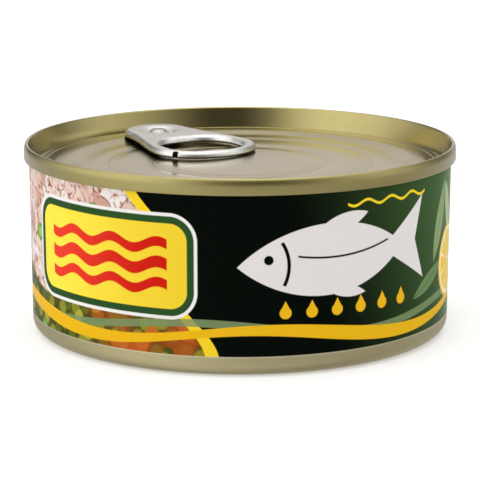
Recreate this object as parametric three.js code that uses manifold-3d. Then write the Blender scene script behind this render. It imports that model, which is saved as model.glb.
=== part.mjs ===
// Shallow round food can, shut, with an easy-open end and a ring pull.
// Millimetres, +Z up. The origin is the centre of the base, which stands on z = 0.

import * as THREE from 'three';
import { mergeVertices } from 'three/addons/utils/BufferGeometryUtils.js';
import Module from 'manifold-3d';

const wasm = await Module();
wasm.setup();

// Driving dimensions of the whole can
const CAN_HEIGHT = 38.1;
const SEAM_RADIUS = 43.65;
const CLEARANCE = 0.3;

// Facets
const ROUND_SEGMENTS = 72;
const ARC_STEPS = 4;
const EASE_STEPS = 3;
const CURVE_STEPS = 7;
const EDGE_STEPS = 2;
const MERGE_TOLERANCE = 1e-4;

// Drawn body: the wall widens a little upwards and its foot is a full round
const WALL_LOW_RADIUS = SEAM_RADIUS - 1.25;
const WALL_TOP_RADIUS = SEAM_RADIUS - 0.97;
const FOOT_ROUND = 2.6;
const FOOT_RING_INNER = 37;
const BASE_RECESS = 1;
const BASE_RECESS_RADIUS = 35.6;
const BASE_PAD_RISE = 0.45;
const BASE_PAD_RADIUS = 24;
const BASE_PAD_SLOPE = 1.6;

// Double seam round the top
const SEAM_HEIGHT = 3.2;
const SEAM_WIDTH = 0.95;
const SEAM_OUTER_ROUND = 0.5;
const SEAM_INNER_ROUND = 0.32;
const SEAM_LOW_ROUND = 0.45;

// Sunk end: chuck wall, flat outer ring, score line, bead and panel with two rings
const RING_DEPTH = 4;
const PANEL_DEPTH = 4.45;
const SHEET = 0.55;
const WALL_FOOT_RADIUS = 41.62;
const WALL_FOOT_ROUND = 1.2;
const SCORE_RADIUS = 39.3;
const SCORE_WIDTH = 0.4;
const SCORE_DEPTH = 0.12;
const BEAD_RADIUS = 36.9;
const BEAD_RISE = 0.3;
const BEAD_OUTER_SLOPE = 1.5;
const BEAD_INNER_SLOPE = 2.7;
const PANEL_RINGS = [26.8, 17.6];
const PANEL_RING_WIDTH = 2;
const PANEL_RING_DEPTH = 0.22;
const CHUCK_SHEET = 0.4;
const CHUCK_TAPER = 0.25;

// Ring pull, drawn along +X from its nose, with its middle plane at z = 0
const TAB_THICKNESS = 1.3;
const TAB_LENGTH = 34.2;
const TAB_EDGE_ROUND = 0.48;
const NOSE_HALF_WIDTH = 7.2;
const NOSE_LENGTH = 6.3;
const FLANK_SWELL = 0.5;
const FLANK_LEAVE = 1 / 3;
const FLANK_ARRIVE = 1 / 4;
const RING_HALF_WIDTH = 11.4;
const RING_LENGTH = 8.6;
const HOLE_START = 15.8;
const HOLE_HALF_WIDTH = 8.45;
const HOLE_CORNER = 6.4;
const HOLE_ROUND_START = 25.8;
const HOLE_END = TAB_LENGTH - 1.8;
const RIVET_PLACE = 6.9;
const DISH_PLACE = 8.8;
const DISH_LENGTH = 8.8;
const DISH_WIDTH = 10.2;
const DISH_FLOOR = 0.5;
const RIVET_HOLE_RADIUS = 2;
const SLOT_RADIUS = 3.05;
const SLOT_WIDTH = 0.6;
const SLOT_HALF_ANGLE = 1.25;
const NOTCH_ANGLE = -0.99;
const NOTCH_WIDTH = 1.05;
const NOTCH_DEPTH = 1.15;
const NOTCH_TIP_SHARE = 0.4;

// Where the ring pull lies on the end: nose by the score line, ring towards the centre
const NOSE_AZIMUTH = THREE.MathUtils.degToRad(123.3);
const NOSE_RADIUS = 38.5;
const TAB_TURN = THREE.MathUtils.degToRad(-0.8);
const NOSE_DEPTH = 2.7;
const RING_END_DEPTH = 3.5;

// Rivet that holds the ring pull, raised out of the panel
const BOSS_TOP_RADIUS = 3.9;
const BOSS_FOOT_RADIUS = 4.7;
const BOSS_HEIGHT = 0.5;
const STEM_RADIUS = 1.65;
const HEAD_RADIUS = 2.3;
const HEAD_THICKNESS = 0.42;
const HEAD_SINK = 0.05;

const CIRCLE_BEZIER = 0.5523;

const ringZ = CAN_HEIGHT - RING_DEPTH;
const panelZ = CAN_HEIGHT - PANEL_DEPTH;
const sheetZ = panelZ - SHEET;
const seamLowZ = CAN_HEIGHT - SEAM_HEIGHT;
const bodyTopZ = sheetZ - CLEARANCE;
const rimTopZ = seamLowZ - CLEARANCE;
const chuckTop = WALL_FOOT_RADIUS + CHUCK_SHEET;
const chuckFoot = chuckTop - CHUCK_TAPER;
const tabTilt = Math.atan((RING_END_DEPTH - NOSE_DEPTH) / TAB_LENGTH);

// A corner of a profile, rounded about a centre
function arc(r, z, radius, from, to) {
  const curve = new THREE.EllipseCurve(r, z, radius, radius, from, to, to < from);
  return curve.getPoints(ARC_STEPS);
}

// A smooth change of level between two places of a profile
function ease(fromR, fromZ, toR, toZ) {
  const middle = (fromR + toR) / 2;
  const curve = new THREE.CubicBezierCurve(
    new THREE.Vector2(fromR, fromZ),
    new THREE.Vector2(middle, fromZ),
    new THREE.Vector2(middle, toZ),
    new THREE.Vector2(toR, toZ),
  );
  return curve.getPoints(EASE_STEPS);
}

// Turns a profile, given from the lower axis point round to the upper one, about Z
function turned(points, segments = ROUND_SEGMENTS) {
  const spaced = points.filter((p, i) => i === 0 || p.distanceTo(points[i - 1]) > MERGE_TOLERANCE);
  return new THREE.LatheGeometry(spaced, segments).rotateX(Math.PI / 2);
}

// Closed mesh to boolean solid, and back to a mesh that can be shown
function toSolid(geometry) {
  const bare = geometry.clone();
  bare.deleteAttribute('normal');
  bare.deleteAttribute('uv');
  const merged = mergeVertices(bare, MERGE_TOLERANCE);
  const index = merged.index.array;
  const kept = [];
  for (let i = 0; i < index.length; i += 3) {
    const [a, b, c] = [index[i], index[i + 1], index[i + 2]];
    if (a !== b && b !== c && c !== a) {
      kept.push(a, b, c);
    }
  }
  return new wasm.Manifold(new wasm.Mesh({
    numProp: 3,
    vertProperties: merged.attributes.position.array,
    triVerts: new Uint32Array(kept),
  }));
}

function toGeometry(solid) {
  const mesh = solid.getMesh();
  const geometry = new THREE.BufferGeometry();
  geometry.setAttribute('position', new THREE.BufferAttribute(mesh.vertProperties, 3));
  geometry.setIndex(new THREE.BufferAttribute(mesh.triVerts, 1));
  geometry.computeVertexNormals();
  return geometry;
}

// The body, solid with its contents: recessed base, foot ring, wall, and the rim round the end
function bodyGeometry() {
  const padEdge = BASE_PAD_RADIUS + BASE_PAD_SLOPE;
  const points = [
    new THREE.Vector2(0, BASE_RECESS + BASE_PAD_RISE),
    ...ease(BASE_PAD_RADIUS, BASE_RECESS + BASE_PAD_RISE, padEdge, BASE_RECESS),
    ...ease(BASE_RECESS_RADIUS, BASE_RECESS, FOOT_RING_INNER, 0),
    ...arc(WALL_LOW_RADIUS - FOOT_ROUND, FOOT_ROUND, FOOT_ROUND, -Math.PI / 2, 0),
    new THREE.Vector2(WALL_TOP_RADIUS, rimTopZ),
    new THREE.Vector2(chuckTop + CLEARANCE, rimTopZ),
    new THREE.Vector2(chuckFoot + CLEARANCE, bodyTopZ),
    new THREE.Vector2(0, bodyTopZ),
  ];
  return turned(points);
}

// One pressed ring of the panel, as the two slopes of a shallow groove
function panelRing(radius) {
  const half = PANEL_RING_WIDTH / 2;
  const low = panelZ - PANEL_RING_DEPTH;
  return [
    ...ease(radius + half, panelZ, radius, low),
    ...ease(radius, low, radius - half, panelZ),
  ];
}

// The sheet end with its seam, from the underside out over the seam and in across the panel
function endSheetGeometry() {
  const seamInner = SEAM_RADIUS - SEAM_WIDTH;
  const footCentre = WALL_FOOT_RADIUS - WALL_FOOT_ROUND;
  const beadZ = ringZ + BEAD_RISE;
  const quarter = Math.PI / 2;
  const lowRound = SEAM_LOW_ROUND;
  const outerRound = SEAM_OUTER_ROUND;
  const innerRound = SEAM_INNER_ROUND;
  const points = [
    new THREE.Vector2(0, sheetZ),
    new THREE.Vector2(chuckFoot, sheetZ),
    new THREE.Vector2(chuckTop, seamLowZ),
    ...arc(SEAM_RADIUS - lowRound, seamLowZ + lowRound, lowRound, -quarter, 0),
    ...arc(SEAM_RADIUS - outerRound, CAN_HEIGHT - outerRound, outerRound, 0, quarter),
    ...arc(seamInner + innerRound, CAN_HEIGHT - innerRound, innerRound, quarter, 2 * quarter),
    ...arc(footCentre, ringZ + WALL_FOOT_ROUND, WALL_FOOT_ROUND, 0, -quarter),
    new THREE.Vector2(SCORE_RADIUS + SCORE_WIDTH / 2, ringZ),
    new THREE.Vector2(SCORE_RADIUS, ringZ - SCORE_DEPTH),
    new THREE.Vector2(SCORE_RADIUS - SCORE_WIDTH / 2, ringZ),
    ...ease(BEAD_RADIUS + BEAD_OUTER_SLOPE, ringZ, BEAD_RADIUS, beadZ),
    ...ease(BEAD_RADIUS, beadZ, BEAD_RADIUS - BEAD_INNER_SLOPE, panelZ),
    ...PANEL_RINGS.flatMap(panelRing),
    new THREE.Vector2(0, panelZ),
  ];
  return turned(points);
}

// Point of the middle plane of the ring pull, at a distance from its nose, in the can's frame
function tabPoint(along) {
  const azimuth = NOSE_AZIMUTH + Math.PI + TAB_TURN;
  return new THREE.Vector3(
    NOSE_RADIUS * Math.cos(NOSE_AZIMUTH) + along * Math.cos(azimuth),
    NOSE_RADIUS * Math.sin(NOSE_AZIMUTH) + along * Math.sin(azimuth),
    CAN_HEIGHT - NOSE_DEPTH - along * Math.tan(tabTilt),
  );
}

// The rivet: a low boss, a stem through the ring pull and a flat head over it
function rivetGeometry() {
  const centre = tabPoint(RIVET_PLACE);
  const headTop = centre.z + TAB_THICKNESS / 2 - HEAD_SINK;
  const headLow = headTop - HEAD_THICKNESS;
  const round = HEAD_THICKNESS / 2;
  const rootZ = panelZ - SHEET / 2;
  const points = [
    new THREE.Vector2(0, rootZ),
    new THREE.Vector2(BOSS_FOOT_RADIUS, rootZ),
    new THREE.Vector2(BOSS_FOOT_RADIUS, panelZ),
    new THREE.Vector2(BOSS_TOP_RADIUS, panelZ + BOSS_HEIGHT),
    new THREE.Vector2(STEM_RADIUS, panelZ + BOSS_HEIGHT),
    new THREE.Vector2(STEM_RADIUS, headLow),
    ...arc(HEAD_RADIUS - round, headLow + round, round, -Math.PI / 2, Math.PI / 2),
    new THREE.Vector2(0, headTop),
  ];
  return turned(points, ROUND_SEGMENTS / 2).translate(centre.x, centre.y, 0);
}

function endGeometry() {
  return toGeometry(toSolid(endSheetGeometry()).add(toSolid(rivetGeometry())));
}

// Outline of the ring pull: round nose, straight flanks that spread, round ring
function tabOutline() {
  const shape = new THREE.Shape();
  const k = CIRCLE_BEZIER;
  const ringStart = TAB_LENGTH - RING_LENGTH;
  const flank = ringStart - NOSE_LENGTH;
  const leave = NOSE_LENGTH + flank * FLANK_LEAVE;
  const arrive = ringStart - flank * FLANK_ARRIVE;
  const noseW = NOSE_HALF_WIDTH;
  const flankW = NOSE_HALF_WIDTH + FLANK_SWELL;
  const ringW = RING_HALF_WIDTH;
  shape.moveTo(0, 0);
  shape.bezierCurveTo(0, -k * noseW, NOSE_LENGTH * (1 - k), -noseW, NOSE_LENGTH, -noseW);
  shape.bezierCurveTo(leave, -flankW, arrive, -ringW, ringStart, -ringW);
  shape.bezierCurveTo(ringStart + k * RING_LENGTH, -ringW, TAB_LENGTH, -k * ringW, TAB_LENGTH, 0);
  shape.bezierCurveTo(TAB_LENGTH, k * ringW, ringStart + k * RING_LENGTH, ringW, ringStart, ringW);
  shape.bezierCurveTo(arrive, ringW, leave, flankW, NOSE_LENGTH, noseW);
  shape.bezierCurveTo(NOSE_LENGTH * (1 - k), noseW, 0, k * noseW, 0, 0);
  return shape;
}

// Outline of the finger hole: straight towards the nose, round towards the ring's end
function fingerHole() {
  const hole = new THREE.Path();
  const k = CIRCLE_BEZIER;
  const halfW = HOLE_HALF_WIDTH;
  const corner = HOLE_CORNER;
  const roundLength = HOLE_END - HOLE_ROUND_START;
  const cornerEnd = HOLE_START + corner;
  const cornerPull = corner * (1 - k);
  const pulled = HOLE_START + cornerPull;
  const roundPull = HOLE_ROUND_START + k * roundLength;
  hole.moveTo(HOLE_START, -halfW + corner);
  hole.bezierCurveTo(HOLE_START, -halfW + cornerPull, pulled, -halfW, cornerEnd, -halfW);
  hole.lineTo(HOLE_ROUND_START, -halfW);
  hole.bezierCurveTo(roundPull, -halfW, HOLE_END, -k * halfW, HOLE_END, 0);
  hole.bezierCurveTo(HOLE_END, k * halfW, roundPull, halfW, HOLE_ROUND_START, halfW);
  hole.lineTo(cornerEnd, halfW);
  hole.bezierCurveTo(pulled, halfW, HOLE_START, halfW - cornerPull, HOLE_START, halfW - corner);
  hole.closePath();
  return hole;
}

// A straight-sided solid that takes the ring pull away from a level upwards
function cutter(shape, fromZ) {
  const tool = new THREE.ExtrudeGeometry(shape, {
    depth: TAB_THICKNESS * 2,
    bevelEnabled: false,
    curveSegments: CURVE_STEPS * 2,
  });
  return toSolid(tool.translate(0, 0, fromZ));
}

// The dished floor round the rivet
function dishCutter() {
  const shape = new THREE.Shape();
  shape.absellipse(DISH_PLACE, 0, DISH_LENGTH / 2, DISH_WIDTH / 2, 0, Math.PI * 2, false, 0);
  return cutter(shape, -TAB_THICKNESS / 2 + DISH_FLOOR);
}

// The hole round the rivet and the curved slot beside it, which lets the floor hinge
function rivetHoleCutter() {
  const shape = new THREE.Shape();
  shape.absarc(RIVET_PLACE, 0, RIVET_HOLE_RADIUS, 0, Math.PI * 2, false);
  return cutter(shape, -TAB_THICKNESS);
}

function slotCutter() {
  const shape = new THREE.Shape();
  const outer = SLOT_RADIUS + SLOT_WIDTH / 2;
  const inner = SLOT_RADIUS - SLOT_WIDTH / 2;
  shape.absarc(RIVET_PLACE, 0, outer, -SLOT_HALF_ANGLE, SLOT_HALF_ANGLE, false);
  shape.absarc(RIVET_PLACE, 0, inner, SLOT_HALF_ANGLE, -SLOT_HALF_ANGLE, true);
  shape.closePath();
  return cutter(shape, -TAB_THICKNESS);
}

// The small notch where the two ends of the curled edge meet
function notchCutter() {
  const edge = new THREE.Vector2(
    TAB_LENGTH - RING_LENGTH + RING_LENGTH * Math.cos(NOTCH_ANGLE),
    RING_HALF_WIDTH * Math.sin(NOTCH_ANGLE),
  );
  const outward = new THREE.Vector2(
    RING_HALF_WIDTH * Math.cos(NOTCH_ANGLE),
    RING_LENGTH * Math.sin(NOTCH_ANGLE),
  ).normalize();
  const side = new THREE.Vector2(-outward.y, outward.x).multiplyScalar(NOTCH_WIDTH / 2);
  const tip = edge.clone().addScaledVector(outward, -NOTCH_DEPTH);
  const mouth = edge.clone().addScaledVector(outward, NOTCH_DEPTH);
  const corners = [
    tip.clone().addScaledVector(side, -NOTCH_TIP_SHARE),
    mouth.clone().sub(side),
    mouth.clone().add(side),
    tip.clone().addScaledVector(side, NOTCH_TIP_SHARE),
  ];
  return cutter(new THREE.Shape(corners), -TAB_THICKNESS);
}

function tabGeometry() {
  const shape = tabOutline();
  shape.holes.push(fingerHole());
  const plate = new THREE.ExtrudeGeometry(shape, {
    depth: TAB_THICKNESS - 2 * TAB_EDGE_ROUND,
    bevelThickness: TAB_EDGE_ROUND,
    bevelSize: TAB_EDGE_ROUND,
    bevelOffset: -TAB_EDGE_ROUND,
    bevelSegments: EDGE_STEPS,
    curveSegments: CURVE_STEPS,
  });
  plate.translate(0, 0, TAB_EDGE_ROUND - TAB_THICKNESS / 2);
  return toGeometry(
    toSolid(plate)
      .subtract(dishCutter())
      .subtract(rivetHoleCutter())
      .subtract(slotCutter())
      .subtract(notchCutter()),
  );
}

// Materials: gold lacquer on the body's bare metal and on the end, bright metal on the ring pull
const printedMaterial = new THREE.MeshStandardMaterial({ color: 0x1f3a1c, roughness: 0.35, metalness: 0.2 });
const lacquerMaterial = new THREE.MeshStandardMaterial({ color: 0xa79a5e, roughness: 0.25, metalness: 0.9 });
const brightMaterial = new THREE.MeshStandardMaterial({ color: 0xcfcbc5, roughness: 0.25, metalness: 1 });

const can = new THREE.Group();

const body = new THREE.Mesh(bodyGeometry(), printedMaterial);
body.name = 'can_body';
can.add(body);

const end = new THREE.Mesh(endGeometry(), lacquerMaterial);
end.name = 'can_end';
can.add(end);

// The ring pull slopes down from its nose, turned so that its ring points at the centre
const tab = new THREE.Mesh(tabGeometry(), brightMaterial);
tab.name = 'pull_tab';
tab.rotation.y = tabTilt;
const tabPlace = new THREE.Group();
tabPlace.position.copy(tabPoint(0));
tabPlace.rotation.z = NOSE_AZIMUTH + Math.PI + TAB_TURN;
tabPlace.add(tab);
can.add(tabPlace);

export default can;
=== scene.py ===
"""A shallow round food can, shut, with a seamed easy-open end, a ring pull and a printed wall."""

import math

import bmesh
import bpy
import numpy as np
from mathutils import Matrix, Vector
from mathutils.geometry import delaunay_2d_cdt


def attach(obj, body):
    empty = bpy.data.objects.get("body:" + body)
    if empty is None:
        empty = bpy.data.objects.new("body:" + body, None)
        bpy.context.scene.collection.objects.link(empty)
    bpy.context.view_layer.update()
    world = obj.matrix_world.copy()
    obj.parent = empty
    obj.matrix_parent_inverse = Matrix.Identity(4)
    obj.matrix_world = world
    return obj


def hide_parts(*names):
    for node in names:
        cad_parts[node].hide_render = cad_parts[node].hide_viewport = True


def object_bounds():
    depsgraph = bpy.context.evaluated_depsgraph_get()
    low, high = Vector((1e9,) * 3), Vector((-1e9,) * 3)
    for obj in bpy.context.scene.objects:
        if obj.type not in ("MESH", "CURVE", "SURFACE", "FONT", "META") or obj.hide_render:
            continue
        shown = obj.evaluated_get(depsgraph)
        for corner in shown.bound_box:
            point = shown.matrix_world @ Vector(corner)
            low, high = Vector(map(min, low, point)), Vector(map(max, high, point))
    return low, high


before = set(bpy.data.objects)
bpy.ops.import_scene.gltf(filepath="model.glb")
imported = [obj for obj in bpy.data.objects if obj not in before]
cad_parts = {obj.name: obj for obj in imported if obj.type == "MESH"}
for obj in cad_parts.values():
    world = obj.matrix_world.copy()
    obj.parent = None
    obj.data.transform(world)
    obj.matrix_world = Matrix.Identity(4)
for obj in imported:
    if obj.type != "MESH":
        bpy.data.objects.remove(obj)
cad_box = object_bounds()


# The stand and the light: a wide pale floor in a soft white studio, with no lamps.
# The room is brightest overhead and at both sides, dim where the camera stands, and a little warm behind
# the can. The floor itself doesn't show in the metal: the lower half of the room stands for it there.
class Val:
    """A shader value, or an expression of values, that Python's operators work on."""

    def __init__(self, socket):
        self.socket = socket

    def __add__(self, other):
        return maths("ADD", self, other)

    def __sub__(self, other):
        return maths("SUBTRACT", self, other)

    def __mul__(self, other):
        return maths("MULTIPLY", self, other)

    def __truediv__(self, other):
        return maths("DIVIDE", self, other)

    def __radd__(self, other):
        return maths("ADD", other, self)

    def __rsub__(self, other):
        return maths("SUBTRACT", other, self)

    def __rmul__(self, other):
        return maths("MULTIPLY", other, self)

    def __neg__(self):
        return maths("MULTIPLY", self, -1.0)

    def __abs__(self):
        return maths("ABSOLUTE", self)


def feed(tree, target, value):
    """Links a value to a socket, or sets it there."""
    if isinstance(value, Val):
        value = value.socket
    if isinstance(value, bpy.types.NodeSocket):
        tree.links.new(value, target)
    else:
        target.default_value = value


def node(tree, kind, settings, *values, **named):
    """Adds a node: its settings first, then the values or links of its sockets, by order or by name."""
    made = tree.nodes.new(kind)
    for name, value in settings.items():
        if name == "stops":
            ramp = made.color_ramp
            ramp.interpolation = "CARDINAL"
            for place, grey in value:
                ramp.elements.new(place).color = (grey, grey, grey, 1.0)
            ramp.elements.remove(ramp.elements[0])
            ramp.elements.remove(ramp.elements[-1])
        else:
            setattr(made, name, value)
    for order, value in enumerate(values):
        feed(tree, made.inputs[order], value)
    for name, value in named.items():
        feed(tree, made.inputs[name.replace("_", " ")], value)
    return made


def maths(operation, *values, clamp=False):
    """A Math node on values and numbers."""
    tree = next(value.socket.id_data for value in values if isinstance(value, Val))
    settings = {"operation": operation, "use_clamp": clamp}
    return Val(node(tree, "ShaderNodeMath", settings, *values).outputs[0])


def axes(tree, vector):
    """The three numbers of a vector."""
    parts = node(tree, "ShaderNodeSeparateXYZ", {}, vector).outputs
    return Val(parts["X"]), Val(parts["Y"]), Val(parts["Z"])


def rising(value, low, high):
    """0 below low, 1 above high, and smooth between."""
    settings = {"interpolation_type": "SMOOTHSTEP"}
    return Val(node(value.socket.id_data, "ShaderNodeMapRange", settings, value, low, high).outputs[0])


# A Mix node's colours come after its other kinds of value, so their sockets are found by place
MIX_BELOW, MIX_ABOVE, MIX_RESULT = 6, 7, 2


def blend(mask, below, above):
    """One colour over another, through a mask."""
    tree = mask.socket.id_data
    mixed = node(tree, "ShaderNodeMix", {"data_type": "RGBA"}, mask)
    feed(tree, mixed.inputs[MIX_BELOW], below)
    feed(tree, mixed.inputs[MIX_ABOVE], above)
    return Val(mixed.outputs[MIX_RESULT])


def set_shader(tree, values):
    """Links or sets the sockets of a material's shader, by name."""
    shader = tree.nodes["Principled BSDF"]
    for name, value in values.items():
        feed(tree, shader.inputs[name], value)


FLOOR_REACH = 6.0
FLOOR_GREY, FLOOR_GLOW = 0.88, 0.36
floor_mesh = bpy.data.meshes.new("floor")
floor_corners = [(x * FLOOR_REACH, y * FLOOR_REACH, 0.0) for x, y in ((-1, -1), (1, -1), (1, 1), (-1, 1))]
floor_mesh.from_pydata(floor_corners, [], [(0, 1, 2, 3)])
floor = bpy.data.objects.new("floor", floor_mesh)
bpy.context.collection.objects.link(floor)
floor_paint = bpy.data.materials.new("floor_paint")
floor_paint.use_nodes = True
set_shader(floor_paint.node_tree, {
    "Base Color": (FLOOR_GREY, FLOOR_GREY, FLOOR_GREY, 1.0),
    "Roughness": 0.9,
    "Specular IOR Level": 0.1,
    "Emission Color": (1.0, 1.0, 1.0, 1.0),
    "Emission Strength": FLOOR_GLOW,
})
floor_mesh.materials.append(floor_paint)
floor.visible_glossy = False

room = bpy.data.worlds.new("studio")
room.use_nodes = True
room_tree = room.node_tree
room_x, room_y, room_z = axes(room_tree, node(room_tree, "ShaderNodeTexCoord", {}).outputs["Generated"])
room_turn = maths("ARCTAN2", room_x, -room_y) / (2 * math.pi) + 0.5
room_height = maths("ARCSINE", room_z) * (180 / math.pi)

# A ramp holds nothing over 1, so its stops are shares of the room's brightest light
BRIGHTEST = 2.0


def room_band(stops):
    """Light round the room, from (degrees to the right of the camera's side, brightness) stops."""
    places = [(degrees / 360 + 0.5, light / BRIGHTEST) for degrees, light in stops]
    ramp = node(room_tree, "ShaderNodeValToRGB", {"stops": places}, room_turn)
    return Val(ramp.outputs["Color"]) * BRIGHTEST


# Walls of the room, the light that the floor sends up, and the heights in degrees where one meets the next
WALL_STOPS = (
    (-179, 0.65), (-160, 0.44), (-144, 0.12), (-104, 0.88), (-67, 1.32), (-37, 1.12), (-20, 0.46), (-7, 0.13),
    (8, 0.07), (24, 0.12), (40, 0.36), (58, 0.64), (89, 0.84), (128, 0.19), (155, 0.46), (179, 0.65),
)
FLOOR_STOPS = (
    (-179, 0.56), (-110, 0.60), (-60, 0.85), (-20, 0.80), (10, 0.68), (45, 0.58), (80, 0.45), (120, 0.54),
    (179, 0.56),
)
FLOOR_TO_WALLS = (-10.0, 2.0)
WALLS_TO_CEILING, CEILING_LIGHT = (24.0, 62.0), 1.18
OVERHEAD, OVERHEAD_LIGHT = (64.0, 82.0), 1.25
UNDER_CAN, UNDER_LOSS = (-80.0, -30.0), 0.22
BACKDROP_EDGES = (0.80, 0.95)
WHITE, WARM_WHITE = (1.0, 1.0, 1.0, 1.0), (1.0, 0.93, 0.90, 1.0)
ceiling = rising(room_height, *WALLS_TO_CEILING)
below = 1 - rising(room_height, *FLOOR_TO_WALLS)
under_can = 1 - rising(room_height, *UNDER_CAN)
room_light = room_band(WALL_STOPS) * (1 - ceiling) + CEILING_LIGHT * ceiling
room_light = room_light + OVERHEAD_LIGHT * rising(room_height, *OVERHEAD)
room_light = room_light * (1 - below) + room_band(FLOOR_STOPS) * (1 - UNDER_LOSS * under_can) * below
room_colour = blend(rising(room_y, *BACKDROP_EDGES) * (1 - below), WHITE, WARM_WHITE)
room_shader = room_tree.nodes["Background"]
feed(room_tree, room_shader.inputs["Color"], room_colour)
feed(room_tree, room_shader.inputs["Strength"], room_light)
bpy.context.scene.world = room
bpy.context.scene.view_settings.view_transform = "Standard"

# The camera looks down from a little above the can and aims at the middle of its height
CAMERA_DISTANCE = 0.460
CAMERA_ELEVATION = math.radians(12.285)
CAMERA_AIM = 0.01726
CAMERA_LENS, CAMERA_SENSOR = 168.67, 36.0
camera_data = bpy.data.cameras.new("camera")
camera_data.lens = CAMERA_LENS
camera_data.sensor_width = CAMERA_SENSOR
camera_data.clip_start = 0.01
camera_data.clip_end = 50.0
camera = bpy.data.objects.new("camera", camera_data)
camera.location = (
    0.0,
    -CAMERA_DISTANCE * math.cos(CAMERA_ELEVATION),
    CAMERA_AIM + CAMERA_DISTANCE * math.sin(CAMERA_ELEVATION),
)
camera.rotation_euler = (math.pi / 2 - CAMERA_ELEVATION, 0.0, 0.0)
bpy.context.collection.objects.link(camera)
bpy.context.scene.camera = camera


# The body: a cup drawn from tinplate, lacquered gold and printed round its wall before it is filled.
# Its foot is a full round on a standing ring, its base is recessed, and its rim is rolled into the seam.
MM = 0.001
QUARTER = math.pi / 2
SAME_PLACE, WELD = 1e-4, 2e-7
SMOOTH_BELOW = math.radians(50)


def arc(r, z, radius, start, stop, steps=10):
    """A corner of a profile, rounded about a centre."""
    turns = [start + (stop - start) * i / steps for i in range(steps + 1)]
    return [(r + radius * math.cos(t), z + radius * math.sin(t)) for t in turns]


def ease(r0, z0, r1, z1, steps=10):
    """A smooth change of level between two places of a profile, flat at both ends."""
    made = []
    for i in range(steps + 1):
        t = i / steps
        pull = (1 - t) ** 3 + 3 * (1 - t) ** 2 * t
        across = (1 - t) ** 3 * r0 + 3 * (1 - t) * t * (r0 + r1) / 2 + t ** 3 * r1
        made.append((across, pull * z0 + (1 - pull) * z1))
    return made


turning = bpy.data.node_groups.new("turned_from_profile", "GeometryNodeTree")
for input_name, input_kind in (
    ("Profile", "NodeSocketGeometry"),
    ("Segments", "NodeSocketInt"),
    ("Centre", "NodeSocketVector"),
    ("Weld", "NodeSocketFloat"),
    ("Finish", "NodeSocketMaterial"),
):
    turning.interface.new_socket(input_name, in_out="INPUT", socket_type=input_kind)
turning.interface.new_socket("Turned", in_out="OUTPUT", socket_type="NodeSocketGeometry")
given = node(turning, "NodeGroupInput", {}).outputs
row_count = Val(node(turning, "GeometryNodeAttributeDomainSize", {}, given["Profile"]).outputs["Point Count"])
column_count = Val(given["Segments"]) + 1.0
grid = node(turning, "GeometryNodeMeshGrid", {}, 1.0, 1.0, column_count, row_count).outputs["Mesh"]
place = Val(node(turning, "GeometryNodeInputIndex", {}).outputs[0])
column = maths("FLOOR", (place + 0.5) / row_count)
row = place - column * row_count
angle = column / given["Segments"] * (2 * math.pi)
profile_place = node(turning, "GeometryNodeInputPosition", {}).outputs[0]
sampled = node(
    turning, "GeometryNodeSampleIndex", {"data_type": "FLOAT_VECTOR"}, given["Profile"], profile_place, row,
).outputs[0]
radial, _, level = axes(turning, sampled)
turned_x, turned_y = radial * maths("COSINE", angle), radial * maths("SINE", angle)
turned_to = node(turning, "ShaderNodeCombineXYZ", {}, turned_x, turned_y, level).outputs[0]
set_out = node(
    turning, "GeometryNodeSetPosition", {}, Geometry=grid, Position=turned_to, Offset=given["Centre"],
).outputs[0]
welded = node(turning, "GeometryNodeMergeByDistance", {}, Geometry=set_out, Distance=given["Weld"]).outputs[0]
realized = node(turning, "GeometryNodeRealizeInstances", {}, welded).outputs[0]
finished = node(turning, "GeometryNodeSetMaterial", {}, Geometry=realized, Material=given["Finish"])
node(turning, "NodeGroupOutput", {}, finished.outputs[0])


def piece_of(name, mesh):
    """Turns the faces outwards, shades them smooth and puts the mesh in the scene."""
    shape = bmesh.new()
    shape.from_mesh(mesh)
    bmesh.ops.recalc_face_normals(shape, faces=shape.faces)
    for face in shape.faces:
        face.smooth = True
    shape.to_mesh(mesh)
    shape.free()
    mesh.set_sharp_from_angle(angle=SMOOTH_BELOW)
    made = bpy.data.objects.new(name, mesh)
    bpy.context.collection.objects.link(made)
    return made


def turned(name, profile, segments, finish, centre=(0.0, 0.0, 0.0)):
    """A closed piece turned about the upright axis from (radius, height) points in millimetres."""
    kept = [profile[0]]
    for point in profile[1:]:
        if math.dist(point, kept[-1]) > SAME_PLACE:
            kept.append(point)
    edges = [(i, i + 1) for i in range(len(kept) - 1)]
    mesh = bpy.data.meshes.new(name + "_profile")
    mesh.from_pydata([(r * MM, 0.0, z * MM) for r, z in kept], edges, [])
    source = bpy.data.objects.new(name + "_profile", mesh)
    bpy.context.collection.objects.link(source)
    modifier = source.modifiers.new("turn", "NODES")
    modifier.node_group = turning
    values = {"Segments": segments, "Centre": [c * MM for c in centre], "Weld": WELD, "Finish": finish}
    for item in turning.interface.items_tree:
        if item.item_type == "SOCKET" and item.in_out == "INPUT" and item.name in values:
            modifier[item.identifier] = values[item.name]
    source.update_tag()
    graph = bpy.context.evaluated_depsgraph_get()
    made = bpy.data.meshes.new_from_object(source.evaluated_get(graph), depsgraph=graph)
    bpy.data.objects.remove(source)
    made.name = name
    return piece_of(name, made)


def srgb(red, green, blue):
    """A colour as seen on a screen, turned into the shader's linear values."""
    shares = [c / 255 for c in (red, green, blue)]
    return tuple(c / 12.92 if c <= 0.04045 else ((c + 0.055) / 1.055) ** 2.4 for c in shares) + (1.0,)


def scaled(tree, vector, scale):
    """A place measured in other units."""
    return node(tree, "ShaderNodeVectorMath", {"operation": "SCALE"}, vector, Scale=scale).outputs[0]


def noise(tree, vector, scale, detail):
    """Soft variation between 0 and 1."""
    return Val(node(tree, "ShaderNodeTexNoise", {}, vector, Scale=scale, Detail=detail).outputs["Fac"])


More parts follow.
